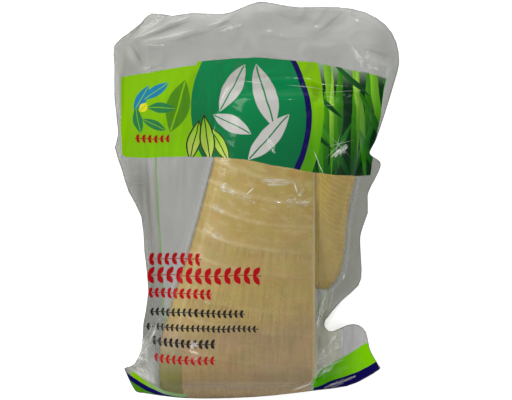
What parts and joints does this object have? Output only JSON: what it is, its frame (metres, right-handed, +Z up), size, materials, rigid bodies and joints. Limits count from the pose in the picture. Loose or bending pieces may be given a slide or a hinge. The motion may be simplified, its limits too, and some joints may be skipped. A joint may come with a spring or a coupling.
{
  "type": "vacuum-packed bamboo shoot",
  "caption": "Cut pieces of peeled, boiled bamboo shoot sealed in a clear vacuum pouch, lying flat on its back web.",
  "frame": {"origin": "under the middle of the pouch, on the surface that its back web rests on", "axes": "+Y towards the pouch's top edge, +X to the right as its front is read, +Z up, out of its front"},
  "size_m": [0.1571, 0.2187, 0.0239],
  "materials": {
    "boiled_shoot": "satin",
    "boiled_shoot_tip": "satin",
    "clear_film": "gloss",
    "clear_film_back": "gloss"
  },
  "bodies": {
    "root": {"shoot_base": "boiled_shoot", "shoot_tip": "boiled_shoot_tip", "film_front": "clear_film", "film_back": "clear_film_back"}
  },
  "joints": []
}
